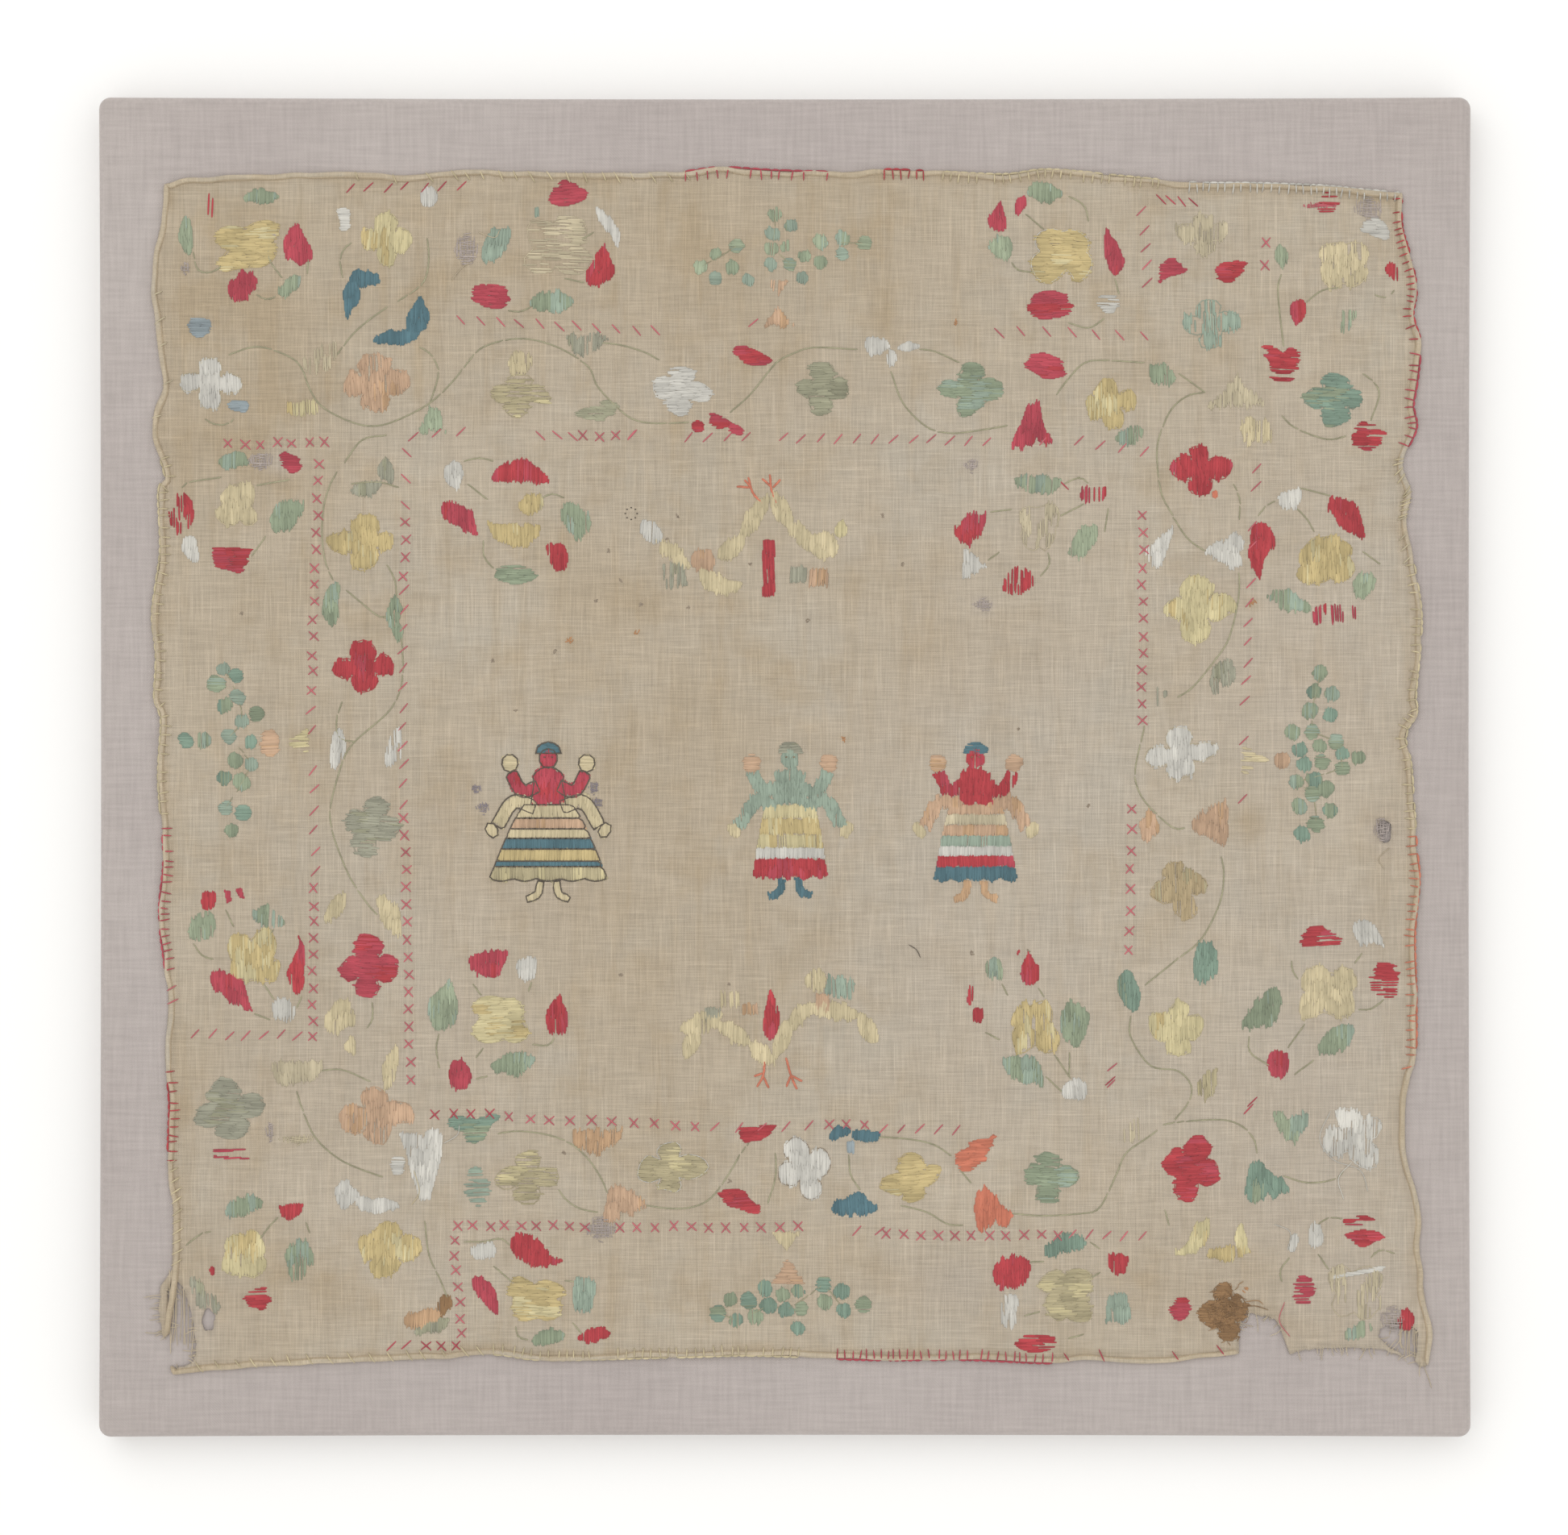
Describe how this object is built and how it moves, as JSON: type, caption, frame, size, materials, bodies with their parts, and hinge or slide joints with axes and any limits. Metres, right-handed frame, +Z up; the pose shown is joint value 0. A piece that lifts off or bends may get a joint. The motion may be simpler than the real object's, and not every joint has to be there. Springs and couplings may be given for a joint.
{
  "type": "embroidered cloth on a fabric-covered mount board",
  "caption": "Square linen cloth with a rolled hem and raised floral embroidery, worn at its lower corners, laid on a padded fabric-covered mount board.",
  "frame": {"origin": "middle of the underside of the mount board", "axes": "+Z up through the board towards the cloth, +X along the cloth's top edge, +Y towards the top edge"},
  "size_m": [0.512, 0.5, 0.0201],
  "materials": {
    "board_cover": "plain woven mauve-grey cover",
    "linen": "fine aged linen with coloured embroidery"
  },
  "bodies": {
    "root": {"mount_board": "board_cover", "cloth": "linen"}
  },
  "joints": []
}
